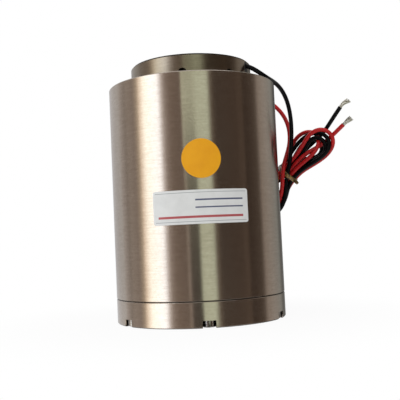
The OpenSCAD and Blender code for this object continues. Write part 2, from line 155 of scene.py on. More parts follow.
# Turns in the hank, in its own plane: across, up, towards the front
blackTurns = [
    (1.7, 1.8, 3.4), (1.4, -2.2, 3.6), (1.0, -6.5, 2.6), (0.0, -10.8, 1.6),
    (-2.4, -15.4, 0.8), (-6.4, -19.6, 0.4), (-11.8, -21.6, 0.0), (-17.0, -20.8, -0.2),
    (-19.8, -17.2, -0.4), (-18.8, -12.8, -0.6), (-14.8, -8.6, -0.8), (-9.6, -4.2, -1.0),
    (-5.2, 0.2, -1.0), (-1.4, 5.2, -0.8), (2.4, 10.4, -0.2), (6.2, 14.4, 0.4),
    (10.6, 17.2, 0.8), (15.4, 18.8, 1.0), (20.2, 18.6, 1.4), (23.4, 16.2, 1.9),
    (24.4, 12.6, 2.2), (22.2, 9.0, 2.4), (17.2, 5.6, 2.6), (11.2, 2.2, 2.0),
    (5.4, -1.6, 0.4), (0.8, -6.2, -1.0), (-2.0, -11.0, -1.2), (-4.6, -15.4, -1.4),
    (-8.8, -18.6, -1.6), (-13.4, -19.0, -1.8), (-16.8, -16.4, -1.9), (-16.8, -12.6, -1.8),
    (-13.2, -8.4, -1.6), (-8.0, -4.0, -1.2), (-2.6, 0.6, -0.4), (3.0, 4.2, 0.2),
    (8.6, 8.4, 0.6), (13.3, 12.8, 1.0), (17.4, 15.8, 1.4), (21.8, 15.0, 1.6),
    (22.8, 11.8, 1.6), (19.4, 8.8, 1.4), (13.8, 6.4, 1.0), (8.8, 3.2, 0.6),
    (4.0, -1.0, -0.4), (-0.4, -6.0, -2.2), (-4.0, -10.8, -2.6), (-8.0, -14.0, -2.8),
    (-12.0, -13.6, -2.8), (-12.6, -10.0, -2.4), (-8.6, -5.8, -2.0), (-3.2, -1.4, -1.6),
    (0.8, 4.2, -1.0), (5.0, 9.8, -0.6), (9.4, 13.8, -0.4), (14.2, 16.0, -0.4),
    (18.8, 15.0, -0.8), (19.8, 11.8, -1.4), (14.8, 10.6, -1.8), (9.6, 9.0, -2.2),
    (4.6, 5.2, -2.8), (0.0, -4.8, -4.0), (-3.8, -9.6, -4.6), (-8.0, -13.2, -4.8),
    (-12.6, -13.2, -4.8), (-14.6, -9.6, -4.8), (-12.0, -5.8, -4.6), (-7.4, -2.8, -4.0),
    (-2.4, 0.6, -3.2), (2.4, 5.6, -2.8), (7.0, 9.6, -2.6), (11.6, 12.5, -2.2),
    (15.6, 15.4, -1.2), (19.2, 18.6, 0.6),
]
redTurns = [
    (0.5, 8.2, 2.6), (-0.3, 3.8, 4.4), (-0.8, -0.6, 5.5), (-1.3, -5.0, 4.6),
    (-2.4, -9.4, 3.0), (-4.4, -13.4, 2.2), (-7.6, -17.2, 2.2), (-12.0, -19.2, 2.2),
    (-16.2, -18.0, 2.0), (-17.6, -13.8, 1.8), (-14.2, -9.2, 1.8), (-8.6, -4.6, 1.6),
    (-2.6, 0.2, 1.2), (2.8, 4.6, 1.6), (7.4, 9.8, 3.2), (11.9, 14.7, 4.4),
    (15.6, 18.7, 4.8), (20.2, 20.6, 4.9), (24.3, 18.8, 4.4), (25.9, 14.8, 2.4),
    (24.2, 10.4, -0.2), (19.2, 6.4, -0.8), (13.0, 2.6, -0.8), (7.0, -1.4, -1.2),
    (2.0, -5.8, -1.8), (-1.8, -10.0, -2.2), (-5.0, -14.4, -1.6), (-9.2, -18.0, -0.8),
    (-14.2, -19.6, -1.0), (-18.6, -17.6, -1.2), (-20.0, -13.4, -1.4), (-16.6, -8.8, -1.8),
    (-12.0, -4.4, -2.2), (-8.0, -0.2, -2.6), (-5.0, 5.0, -2.8), (-2.0, 9.8, -2.8),
    (1.4, 14.2, -2.6), (5.2, 18.2, -2.2), (9.6, 20.8, -1.4), (14.0, 20.4, -0.6),
    (17.2, 17.6, 0.2), (19.4, 14.4, 1.6), (18.4, 11.0, 2.8), (14.6, 8.4, 3.2),
    (9.8, 5.0, 2.8), (5.0, 1.2, 1.6), (0.4, -2.4, 0.6), (-3.8, -6.4, 0.4),
    (-7.8, -10.4, 0.4), (-11.8, -13.2, 0.4), (-15.0, -11.4, 0.2), (-12.8, -7.8, 0.2),
    (-7.6, -3.8, 0.4), (-2.0, -0.4, 1.0), (3.2, 3.2, 1.8), (8.4, 7.0, 2.6),
    (13.2, 10.4, 2.4), (17.6, 13.4, 1.2), (21.6, 15.0, 0.5),
]


def hankPoint(across, up, front):
    turn = math.radians(hankPlace["turn"])
    x, y, z = hankPlace["centre"]
    return (
        x + across * math.cos(turn) - front * math.sin(turn),
        y - across * math.sin(turn) - front * math.cos(turn),
        z + up,
    )


# Even cubic curve with held ends, the line that the solid leads follow
def heldCurve(points, steps):
    p = np.array(points, float)
    p = np.vstack([2 * p[0] - p[1], p, 2 * p[-1] - p[-2]])
    line = []
    for i in range(len(p) - 3):
        for t in np.linspace(0, 1, steps, endpoint=False):
            line.append(bendPoint(p[i:i + 4], t))
    line.append(bendPoint(p[-4:], 1))
    return np.array(line)


def bendPoint(p, t):
    return ((1 - t) ** 3 * p[0] + (3 * t ** 3 - 6 * t * t + 4) * p[1]
            + (-3 * t ** 3 + 3 * t * t + 3 * t + 1) * p[2] + t ** 3 * p[3]) / 6


# Curve through every one of its points
def throughCurve(points, steps):
    p = np.array(points, float)
    p = np.vstack([2 * p[0] - p[1], p, 2 * p[-1] - p[-2]])
    line = []
    for i in range(1, len(p) - 2):
        a, b, c, d = p[i - 1:i + 3]
        for t in np.linspace(0, 1, steps, endpoint=False):
            line.append(0.5 * (2 * b + (c - a) * t + (2 * a - 5 * b + 4 * c - d) * t * t
                               + (3 * b - a - 3 * c + d) * t ** 3))
    line.append(p[-2])
    return np.array(line)


def evenlySpaced(line, step):
    along = np.concatenate([[0], np.cumsum(np.linalg.norm(np.diff(line, axis=0), axis=1))])
    count = int(round(along[-1] / step)) + 1
    places = np.linspace(0, along[-1], count)
    return np.column_stack([np.interp(places, along, line[:, k]) for k in range(3)])


# A lead as it is laid: along its route, through its turns and out to its free end
def leadLine(route, turns, tail, shape):
    start = heldCurve(route, shape["routeSteps"])[:-shape["handOver"]]
    knots = [tuple(start[-1])] + [hankPoint(*turn) for turn in turns] + [tail[1]]
    middle = throughCurve(knots, shape["turnSteps"])
    end = heldCurve(tail, shape["routeSteps"])[shape["routeSteps"]:]
    return evenlySpaced(np.vstack([start[:-1], middle[:-1], end]), shape["step"])


# Ways of the hank: along the strands at the tie, to their side, and to the front
def hankWays():
    turn, tie = math.radians(hankPlace["turn"]), math.radians(hankPlace["tieAngle"])
    across = np.array((math.cos(turn), -math.sin(turn), 0))
    front = np.array((-math.sin(turn), -math.cos(turn), 0))
    up = np.array((0, 0, 1.0))
    along = math.cos(tie) * across + math.sin(tie) * up
    side = -math.sin(tie) * across + math.cos(tie) * up
    return along, side, front


# Share that each point may move: the first stretch and the free end stay on their routes
def freedom(line, shape):
    held, ramp, end = int(shape["heldStart"] / shape["step"]), shape["loosening"], shape["heldEnd"]
    least, most = shape["slack"]
    free = np.ones(len(line))
    free[:held] = 0
    free[held:held + ramp] = np.linspace(least, most, ramp)
    free[-end:] = np.linspace(most, 0, end)
    return free[:, None]


# Brings two points that lie some steps apart towards a distance
def pullLinks(line, free, steps, distance, strength, onlyApart):
    span = line[steps:] - line[:-steps]
    size = np.linalg.norm(span, axis=1, keepdims=True)
    error = size - distance
    if onlyApart:
        error = np.minimum(error, 0)
    first, second = free[:-steps], free[steps:]
    pull = strength * error * span / (size * np.maximum(first + second, tiny))
    line[:-steps] += pull * first
    line[steps:] -= pull * second


# Settles the strands side by side. They keep their length, bend no tighter than they
# can, stay clear of the housing and are pressed together by the tie.
def settleStrands(lines, shape, how):
    counts = [len(line) for line in lines]
    cuts = np.cumsum(counts)[:-1]
    points = np.vstack(lines)
    home = points.copy()
    free = np.vstack([freedom(line, shape) for line in lines])
    parts, freeParts = np.split(points, cuts), np.split(free, cuts)
    lead = np.repeat(np.arange(len(lines)), counts)
    order = np.concatenate([np.arange(count) for count in counts])
    joined = lead[:, None] == lead[None]
    joined &= abs(order[:, None] - order[None]) < how["neighbours"]
    # The tie presses what is loose, apart from the red lead's first strand, which lies over it
    under = (free[:, 0] > 0.5) & ((lead == 0) | (order > shape["overTie"] / shape["step"]))
    spans = [np.linalg.norm(np.diff(line, axis=0), axis=1, keepdims=True) for line in lines]
    bend, step = shape["tightest"], shape["step"]
    chords = [(n, 2 * bend * math.sin(n * step / (2 * bend))) for n in how["bendSpans"]]
    along, side, front = hankWays()
    centre = np.array(hankPlace["centre"], float)
    wide, thick = shape["tieHalf"]
    for turn in range(how["rounds"]):
        gap = points[:, None] - points[None]
        apart = np.sqrt((gap ** 2).sum(2))
        apart[joined] = np.inf
        overlap = np.clip(shape["diameter"] * how["spacing"] - apart, 0, None)
        press = overlap / np.maximum(apart, tiny)
        move = (gap * press[..., None]).sum(1)
        size = np.linalg.norm(move, axis=1, keepdims=True)
        move *= np.minimum(1, how["longestPush"] / np.maximum(size, tiny))
        points += how["push"] * move * free
        points += (home - points) * how["pullHome"] * (1 - turn / how["rounds"]) * free
        for part, loose in zip(parts, freeParts):
            curl = np.zeros_like(part)
            curl[1:-1] = part[:-2] + part[2:] - 2 * part[1:-1]
            change = curl[:-2] + curl[2:] - 2 * curl[1:-1]
            part[1:-1] -= how["smoothing"] * change * loose[1:-1]
        rel = points - centre
        grip = np.clip(how["grip"] - abs(rel @ along) / how["gripFade"], 0, 1) * under
        sideways, forward = rel @ side, rel @ front - shape["tieFront"]
        reach = np.maximum(np.hypot(sideways / wide, forward / thick), 1)
        squeeze = (1 - 1 / reach) * grip * how["squeeze"]
        points -= np.outer(sideways * squeeze, side) + np.outer(forward * squeeze, front)
        radius = np.hypot(points[:, 0], points[:, 1])
        inside = (radius < shape["clearOf"]) & (points[:, 2] < shape["clearBelow"])
        grow = np.where(inside, shape["clearOf"] / radius, 1) - 1
        points[:, :2] *= 1 + grow[:, None] * free
        for repeat in range(how["repeats"]):
            for part, loose, span in zip(parts, freeParts, spans):
                pullLinks(part, loose, 1, span, how["lengthPull"], False)
                for n, chord in chords:
                    pullLinks(part, loose, n, chord, how["bendPull"], True)
    return parts


def tightestBend(line):
    a, b, c = line[:-2], line[1:-1], line[2:]
    area = np.linalg.norm(np.cross(b - a, c - a), axis=1) / 2
    sides = (np.linalg.norm(b - a, axis=1) * np.linalg.norm(c - b, axis=1)
             * np.linalg.norm(c - a, axis=1))
    return float((sides / np.maximum(4 * area, tiny)).min())


# The material of that name, whose look is made further down
def materialNamed(name):
    return bpy.data.materials.get(name) or bpy.data.materials.new(name)


def newCurve(name, radius, sides, material):
    data = bpy.data.curves.new(name, "CURVE")
    data.materials.append(materialNamed(material))
    data.dimensions = "3D"
    data.bevel_depth = radius * mm
    data.bevel_resolution = sides
    data.use_fill_caps = True
    return data


def addSpline(data, points, order, resolution, toEnds):
    spline = data.splines.new("NURBS")
    spline.points.add(len(points) - 1)
    for point, place in zip(spline.points, points):
        point.co = (*(place * mm), 1)
    spline.order_u = order
    spline.resolution_u = resolution
    spline.use_endpoint_u = toEnds


def makeLead(name, line, shape, material):
    data = newCurve(name, shape["diameter"] / 2, shape["sides"], material)
    ends = np.vstack([2 * line[0] - line[1], line, 2 * line[-1] - line[-2]])
    addSpline(data, ends, order=4, resolution=2, toEnds=False)
    return newObject(name, data)


laidLines = [leadLine(blackRoute, blackTurns, blackTail, leadShape),
             leadLine(redRoute, redTurns, redTail, leadShape)]
blackLine, redLine = settleStrands(laidLines, leadShape, settling)
blackCord = makeLead("blackLead", blackLine, leadShape, "blackInsulation")
redCord = makeLead("redLead", redLine, leadShape, "redInsulation")
for cord in (blackCord, redCord):
    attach(cord, "coil_assembly")
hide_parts("lead_black", "tail_black", "lead_hank")
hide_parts("lead_red", "tail_red")
print("leads settled, tightest bends in millimetres:",
      round(tightestBend(blackLine), 1), round(tightestBend(redLine), 1))

tieShape = {
    "width": 2.0,          # millimetres, along the strands
    "thickness": 0.3,
    "clear": 0.04,         # gap between film and strands
    "wireRise": 0.22,      # how far the wire in the middle lifts the film
    "wireHalf": 0.35,      # half width of that lift
    "wireShoulder": 0.4,   # share of the lift that is left at its sides
    "segments": 20,        # points round one strand
    "capNormal": 0.96,     # faces that look this squarely along the strands are open ends
    "edge": 0.08,          # rounding of the film's edges
    "tailLength": 2.8,
    "tailWidth": 1.9,
    "tailThickness": 0.55,
    "tailEdge": 0.1,
    "tailCuts": 12,
    "tailTwist": 300,      # degrees over the tail's length
    "tailPinch": 0.55,     # narrowest width, as a share
    "tailSwell": (0.25, 0.6),  # where the swelling starts and how fast it runs, in half waves
    "tailOut": 0.45,       # how far its middle lies outside the strands, in tail lengths
    "tailFront": 0.9,
    "reach": 9,            # how far from the hank's middle a strand may be to be tied
}


# Where the strands of a lead cross the tie: to the side and to the front of the hank's middle
def strandsAtTie(line, shape):
    along, side, front = hankWays()
    found = []
    rel = line - np.array(hankPlace["centre"], float)
    a = rel @ along
    for i in np.nonzero(a[:-1] * a[1:] < 0)[0]:
        p = rel[i] + a[i] / (a[i] - a[i + 1]) * (rel[i + 1] - rel[i])
        if abs(p @ side) < shape["reach"]:
            found.append((float(p @ side), float(p @ front)))
    return found


def newPiece(name, bm):
    data = bpy.data.meshes.new(name)
    bm.to_mesh(data)
    bm.free()
    return newObject(name, data)


def smoothBelow(piece, degrees):
    for face in piece.data.polygons:
        face.use_smooth = True
    piece.data.set_sharp_from_angle(angle=math.radians(degrees))


def addModifier(piece, kind, **values):
    modifier = piece.modifiers.new(kind.lower(), kind)
    for key, value in values.items():
        setattr(modifier, key, value)


# Rounds the edges that turn by more than 50 degrees
def roundEdges(piece, width):
    addModifier(piece, "BEVEL", width=width * mm, affect="EDGES", segments=2, profile=0.5,
                material=-1, limit_method="ANGLE", angle_limit=math.radians(50))


# The matrix that stands a shape made round Z in the tie: Z along the strands, X to the side
def tiePlace():
    along, side, front = (Vector(way) for way in hankWays())
    turn = Matrix((side, front, along)).transposed().to_4x4()
    return Matrix.Translation(Vector(hankPlace["centre"]) * mm) @ turn @ Matrix.Scale(mm, 4)


# The band lies round every strand under it, pulled tight like a hull
def makeTieBand(strands, shape):
    bm = bmesh.new()
    radius = leadShape["diameter"] / 2 + shape["clear"]
    half, wire, rise = shape["width"] / 2, shape["wireHalf"], shape["wireRise"]
    shoulder = rise * shape["wireShoulder"]
    rings = ((-half, 0), (-wire, shoulder), (0, rise), (wire, shoulder), (half, 0))
    for sideways, forward in strands:
        for z, grow in rings:
            bmesh.ops.create_circle(bm, segments=shape["segments"], radius=radius + grow,
                                    matrix=Matrix.Translation((sideways, forward, z)))
    hull = bmesh.ops.convex_hull(bm, input=bm.verts[:])
    spare = [item for item in hull["geom_interior"] + hull["geom_unused"]
             if isinstance(item, bmesh.types.BMVert) and item.is_valid]
    bmesh.ops.delete(bm, geom=list(set(spare)), context="VERTS")
    bm.normal_update()
    caps = [face for face in bm.faces if abs(face.normal.z) > shape["capNormal"]]
    bmesh.ops.delete(bm, geom=caps, context="FACES")
    bmesh.ops.transform(bm, matrix=tiePlace(), verts=bm.verts[:])
    piece = newPiece("tieBand", bm)
    addModifier(piece, "SOLIDIFY", thickness=shape["thickness"] * mm, offset=1)
    roundEdges(piece, shape["edge"])
    smoothBelow(piece, degrees=55)
    return piece


# The two ends of the tie, twisted round each other
def makeTieTail(strands, shape):
    bm = bmesh.new()
    length, pinch = shape["tailLength"], shape["tailPinch"]
    swellStart, swellRun = shape["tailSwell"]
    outer = min(sideways for sideways, forward in strands) - leadShape["diameter"] / 2
    for quarter in (0, 1):
        made = bmesh.ops.create_cube(bm, size=1)["verts"]
        bmesh.ops.scale(bm, vec=(length, shape["tailWidth"], shape["tailThickness"]), verts=made)
        bmesh.ops.rotate(bm, verts=made, matrix=Matrix.Rotation(quarter * math.pi / 2, 3, "X"))
    longEdges = [edge for edge in bm.edges
                 if abs((edge.verts[0].co - edge.verts[1].co).x) > length / 2]
    bmesh.ops.subdivide_edges(bm, edges=longEdges, cuts=shape["tailCuts"], use_grid_fill=True)
    for vert in bm.verts:
        share = 0.5 - vert.co.x / length
        turn = Matrix.Rotation(math.radians(shape["tailTwist"]) * share, 3, "X")
        swell = math.sin(math.pi * min(1.0, swellStart + swellRun * share))
        narrow = pinch + (1 - pinch) * swell
        vert.co = turn @ Vector((vert.co.x, vert.co.y * narrow, vert.co.z * narrow))
    place = (outer - shape["tailOut"] * length, shape["tailFront"], 0)
    bmesh.ops.translate(bm, verts=bm.verts[:], vec=place)
    bmesh.ops.transform(bm, matrix=tiePlace(), verts=bm.verts[:])
    piece = newPiece("tieTail", bm)
    roundEdges(piece, shape["tailEdge"])
    smoothBelow(piece, degrees=50)
    return piece


# The first strand of the red lead lies over the tie, all others under it
tiedStrands = strandsAtTie(blackLine, tieShape) + strandsAtTie(redLine, tieShape)[1:]
tieBand = makeTieBand(tiedStrands, tieShape)
tieTail = makeTieTail(tiedStrands, tieShape)
for piece in (tieBand, tieTail):
    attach(piece, "coil_assembly")
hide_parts("wire_tie")
print("tie made round", len(tiedStrands), "strands")

strandShape = {
    "count": 22,
    "radius": 0.21,        # millimetres
    "sides": 2,
    "points": 6,           # points along a strand
    "bundle": 0.65,        # radius of the bundle where it leaves the insulation
    "flare": 1.5,          # radius of the bundle at its tip
    "flareLate": 1.4,      # power that keeps the bundle narrow near the insulation
    "twist": 1.5,          # radians over the length
    "turnEach": 2.4,       # radians from one strand to the next
    "inside": 0.8,         # how far the strands reach into the insulation
    "bendAt": 0.45,        # where the bundle bends towards its tip, as a share
    "shortest": 0.84,      # length of the shortest strand, as a share
    "uneven": 5.3,         # radians from one strand's length to the next one's
    "blackTip": (78.0, 5.6, 103.3),
    "redTip": (79.0, 6.6, 94.4),
}


# Bare strands that leave the insulation as one bundle and fan out a little at the tip
def makeStrands(name, line, tip, shape):
    start = Vector(line[-1])
    ahead = (start - Vector(line[-3])).normalized()
    tip = Vector(tip)
    bendAt = start + ahead * (tip - start).length * shape["bendAt"]
    data = newCurve(name, shape["radius"], shape["sides"], "tinnedWire")
    first = ahead.orthogonal().normalized()
    second = ahead.cross(first)
    for i in range(shape["count"]):
        share = math.sqrt((i + 0.5) / shape["count"])
        reach = shape["shortest"] + (1 - shape["shortest"]) * math.sin(i * shape["uneven"]) ** 2
        points = [start - ahead * shape["inside"]]
        for k in range(shape["points"]):
            t = reach * k / (shape["points"] - 1)
            middle = (1 - t) ** 2 * start + 2 * t * (1 - t) * bendAt + t * t * tip
            radius = shape["bundle"] + (shape["flare"] - shape["bundle"]) * t ** shape["flareLate"]
            a = i * shape["turnEach"] + shape["twist"] * t
            points.append(middle + share * radius * (math.cos(a) * first + math.sin(a) * second))
        points[0] += points[1] - start
        addSpline(data, points, order=3, resolution=3, toEnds=True)
    piece = newObject(name, data)
    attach(piece, "coil_assembly")
    return piece


blackStrands = makeStrands("blackStrands", blackLine, strandShape["blackTip"], strandShape)
redStrands = makeStrands("redStrands", redLine, strandShape["redTip"], strandShape)
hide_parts("tinned_end_black")
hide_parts("tinned_end_red")
print("bare strands made")


def newMaterial(name):
    material = materialNamed(name)
    material.use_nodes = True
    tree = material.node_tree
    return material, tree, tree.nodes["Principled BSDF"]


def add(tree, kind, **values):
    node = tree.nodes.new(kind)
    for key, value in values.items():
        if hasattr(node, key) and key not in node.inputs:
            setattr(node, key, value)
        else:
            node.inputs[key].default_value = value
    return node


def newGroup(name, inputs, outputs):
    tree = bpy.data.node_groups.new(name, "ShaderNodeTree")
    for label, value in inputs:
        socket = tree.interface.new_socket(label, in_out="INPUT", socket_type="NodeSocketFloat")
        socket.default_value = value
    for label in outputs:
        tree.interface.new_socket(label, in_out="OUTPUT", socket_type="NodeSocketFloat")
    return tree, tree.nodes.new("NodeGroupInput"), tree.nodes.new("NodeGroupOutput")


def useGroup(tree, group, **values):
    node = tree.nodes.new("ShaderNodeGroup")
    node.node_tree = group
    for key, value in values.items():
        node.inputs[key].default_value = value
    return node


def doMath(tree, operation, a, b=None, c=None, clamp=False):
    node = tree.nodes.new("ShaderNodeMath")
    node.operation = operation
    node.use_clamp = clamp
    for i, value in enumerate((a, b, c)):
        if value is None:
            continue
        if isinstance(value, bpy.types.NodeSocket):
            tree.links.new(value, node.inputs[i])
        else:
            node.inputs[i].default_value = value
    return node.outputs[0]


# The factor is a socket, and each colour is a socket or three values
def mixColours(tree, factor, a, b):
    node = add(tree, "ShaderNodeMix", data_type="RGBA")
    tree.links.new(factor, node.inputs[0])
    for i, value in ((6, a), (7, b)):
        if isinstance(value, bpy.types.NodeSocket):
            tree.links.new(value, node.inputs[i])
        else:
            node.inputs[i].default_value = (*value, 1)
    return node.outputs[2]


# Object coordinates, in metres
def objectPlace(tree):
    return add(tree, "ShaderNodeTexCoord").outputs["Object"]


def splitPlace(tree, place):
    node = add(tree, "ShaderNodeSeparateXYZ")
    tree.links.new(place, node.inputs[0])
    return node.outputs


def radiusOf(tree, x, y):
    square = doMath(tree, "ADD", doMath(tree, "MULTIPLY", x, x), doMath(tree, "MULTIPLY", y, y))
    return doMath(tree, "SQRT", square)


# Angle round the axis from the front, positive to the right
def angleFromFront(tree, x, y):
    return doMath(tree, "ARCTAN2", x, doMath(tree, "MULTIPLY", y, -1.0))


turnedPattern = {
    "nearAxis": 0.5 * mm,  # radius below which the lines no longer follow the angle
    "shadeScale": 0.5,     # how coarse the lines' shade is, as a share of their height's scale
    "grainScale": 800.0,   # per metre
    "grainShare": 0.4,
}


# Fine lines that a lathe leaves: they run round the upright axis, on sides and on end faces
def makeTurnedLines(look):
    tree, given, result = newGroup(
        "turnedLines", [("Lines per mm", 4.0), ("Break up", 6.0)], ["Height", "Shade"])
    place = objectPlace(tree)
    x, y, z = splitPlace(tree, place)
    radius = radiusOf(tree, x, y)
    safe = doMath(tree, "MAXIMUM", radius, look["nearAxis"])
    length = given.outputs["Break up"]
    lines = {}
    for label, share, detail in (("Height", 1.0, 3.0), ("Shade", look["shadeScale"], 2.0)):
        scale = doMath(tree, "MULTIPLY", given.outputs["Lines per mm"], share / mm)
        join = add(tree, "ShaderNodeCombineXYZ")
        tree.links.new(doMath(tree, "MULTIPLY", radius, scale), join.inputs[0])
        tree.links.new(doMath(tree, "MULTIPLY", z, scale), join.inputs[1])
        tree.links.new(doMath(tree, "MULTIPLY", doMath(tree, "DIVIDE", x, safe), length),
                       join.inputs[2])
        noise = add(tree, "ShaderNodeTexNoise", noise_dimensions="4D", Scale=1.0,
                    Detail=detail, Roughness=0.6)
        tree.links.new(join.outputs[0], noise.inputs["Vector"])
        tree.links.new(doMath(tree, "MULTIPLY", doMath(tree, "DIVIDE", y, safe), length),
                       noise.inputs["W"])
        lines[label] = noise.outputs["Fac"]
    grain = add(tree, "ShaderNodeTexNoise", Scale=look["grainScale"], Detail=2.0, Roughness=0.6)
    tree.links.new(place, grain.inputs["Vector"])
    fine = doMath(tree, "MULTIPLY", grain.outputs["Fac"], look["grainShare"])
    shade = doMath(tree, "MULTIPLY_ADD", lines["Shade"], 1 - look["grainShare"], fine)
    tree.links.new(lines["Height"], result.inputs["Height"])
    tree.links.new(shade, result.inputs["Shade"])
    return tree


# Soft uneven patches, for handling marks and slight colour changes
def makePatches():
    tree, given, result = newGroup("patches", [("Size mm", 12.0), ("Sharpness", 1.0)], ["Mask"])
    noise = add(tree, "ShaderNodeTexNoise", Detail=4.0, Roughness=0.6)
    tree.links.new(objectPlace(tree), noise.inputs["Vector"])
    tree.links.new(doMath(tree, "DIVIDE", 1000.0, given.outputs["Size mm"]), noise.inputs["Scale"])
    centred = doMath(tree, "SUBTRACT", noise.outputs["Fac"], 0.5)
    spread = doMath(tree, "MULTIPLY_ADD", centred, given.outputs["Sharpness"], 0.5, clamp=True)
    tree.links.new(spread, result.inputs["Mask"])
    return tree


maskSharpness = 12.0  # per millimetre, at the edges of zones and ruled lines


# A group that masks what lies between two pairs of limits, all in millimetres. The given
# function makes the two measures that are held against them.
def makeBandMask(name, labels, measure):
    tree, given, result = newGroup(name, [(label, 0.0) for label in labels], ["Mask"])
    mask = None
    for k, value in enumerate(measure(tree, *splitPlace(tree, objectPlace(tree)))):
        low, high = given.outputs[labels[2 * k]], given.outputs[labels[2 * k + 1]]
        depth = doMath(tree, "MINIMUM", doMath(tree, "SUBTRACT", value, low),
                       doMath(tree, "SUBTRACT", high, value))
        edge = doMath(tree, "MULTIPLY_ADD", depth, maskSharpness, 0.5, clamp=True)
        mask = edge if mask is None else doMath(tree, "MULTIPLY", mask, edge)
    tree.links.new(mask, result.inputs["Mask"])
    return tree


def heightAndRadius(tree, x, y, z):
    radius = doMath(tree, "MULTIPLY", radiusOf(tree, x, y), 1000.0)
    return doMath(tree, "MULTIPLY", z, 1000.0), radius


turnedLines = makeTurnedLines(turnedPattern)
patches = makePatches()
zone = makeBandMask("zone", ("Low", "High", "Inner", "Outer"), heightAndRadius)

# Colours, roughness and highlight of each turned metal. Lines are counted per millimetre,
# depth and patch are in millimetres. A zone of painted shade has its heights, then its radii.
turnedMetals = {
    "housingSteel": {
        "colour": (0.50, 0.44, 0.385), "warm": (0.36, 0.30, 0.25), "rough": 0.22,
        "stretch": 1.0, "lines": 3.0, "depth": 0.008, "contrast": 1.5, "patch": 26.0,
        # Painted shade in the seam, round the bottom edge and in the base's slots
        "dark": [(11.12, 11.5, 39.4, 41), (-1, 0.3, 39, 41), (0.3, 8, 30, 39.5)],
    },
    "holderMetal": {
        "colour": (0.31, 0.265, 0.21), "warm": (0.2, 0.165, 0.125), "rough": 0.35,
        "stretch": 0.85, "lines": 3.2, "depth": 0.008, "contrast": 1.4, "patch": 18.0,
        # Painted shade in a band at the top edge and in a zone below it
        "dark": [(120.25, 120.97, 28, 30), (105, 119.8, 24, 28.8)],
    },
    "coreSteel": {
        "colour": (0.5, 0.49, 0.47), "warm": (0.4, 0.385, 0.36), "rough": 0.36,
        "stretch": 0.6, "lines": 2.5, "depth": 0.015, "contrast": 1.6, "patch": 16.0,
        "dark": [],
    },
    "spacerAluminium": {
        "colour": (0.62, 0.6, 0.57), "warm": (0.5, 0.475, 0.44), "rough": 0.34,
        "stretch": 0.7, "lines": 3.0, "depth": 0.012, "contrast": 1.6, "patch": 14.0,
        "dark": [],
    },
    "bobbinMetal": {
        "colour": (0.72, 0.72, 0.7), "warm": (0.6, 0.59, 0.56), "rough": 0.36,
        "stretch": 0.6, "lines": 3.0, "depth": 0.012, "contrast": 1.6, "patch": 14.0,
        "dark": [],
    },
}

# What all turned metals share
turnedFinish = {
    "breakUp": 6.0,        # how often a line fades in and out on its way round
    "patchSharp": 2.0,
    "patchShade": 0.3,     # how much a patch darkens
    "baseShade": 0.35,
    "roughSpread": 0.05,
    # Painted shade: a near black colour that covers the shade zones, which are also made rougher
    "grime": (0.012, 0.01, 0.008),
    "grimeCover": 0.92,
    "grimeRough": 0.3,
    "stretchTurn": 0.25,   # turns, which lays the highlight across the lines
    "bump": 0.35,
}


def makeTurnedMetal(name, look, finish):
    material, tree, shader = newMaterial(name)
    lines = useGroup(tree, turnedLines,
                     **{"Lines per mm": look["lines"], "Break up": finish["breakUp"]})
    marks = useGroup(tree, patches,
                     **{"Size mm": look["patch"], "Sharpness": finish["patchSharp"]})
    mask = marks.outputs["Mask"]
    streaks = doMath(tree, "SUBTRACT", lines.outputs["Shade"], 0.5)
    shade = doMath(tree, "MULTIPLY_ADD", mask, finish["patchShade"], finish["baseShade"])
    shade = doMath(tree, "MULTIPLY_ADD", streaks, look["contrast"], shade, clamp=True)
    colour = mixColours(tree, shade, look["colour"], look["warm"])
    smoothest = look["rough"] - finish["roughSpread"] / 2
    rough = doMath(tree, "MULTIPLY_ADD", mask, finish["roughSpread"], smoothest)
    # Painted shade: each zone mixes the colour towards near black and adds roughness
    for low, high, inner, outer in look["dark"]:
        grime = useGroup(tree, zone, **{"Low": low, "High": high, "Inner": inner, "Outer": outer})
        cover = doMath(tree, "MULTIPLY", grime.outputs["Mask"], finish["grimeCover"])
        colour = mixColours(tree, cover, colour, finish["grime"])
        rough = doMath(tree, "MULTIPLY_ADD", grime.outputs["Mask"], finish["grimeRough"], rough)
    tree.links.new(colour, shader.inputs["Base Color"])
    shader.inputs["Metallic"].default_value = 1
    tree.links.new(rough, shader.inputs["Roughness"])
    shader.inputs["Anisotropic"].default_value = look["stretch"]
    shader.inputs["Anisotropic Rotation"].default_value = finish["stretchTurn"]
    tangent = add(tree, "ShaderNodeTangent", direction_type="RADIAL", axis="Z")
    tree.links.new(tangent.outputs[0], shader.inputs["Tangent"])
    bump = add(tree, "ShaderNodeBump", Strength=finish["bump"], Distance=look["depth"] * mm)
    tree.links.new(lines.outputs["Height"], bump.inputs["Height"])
    tree.links.new(bump.outputs[0], shader.inputs["Normal"])
    return material


materials = {name: makeTurnedMetal(name, look, turnedFinish)
             for name, look in turnedMetals.items()}
print("turned metals made")

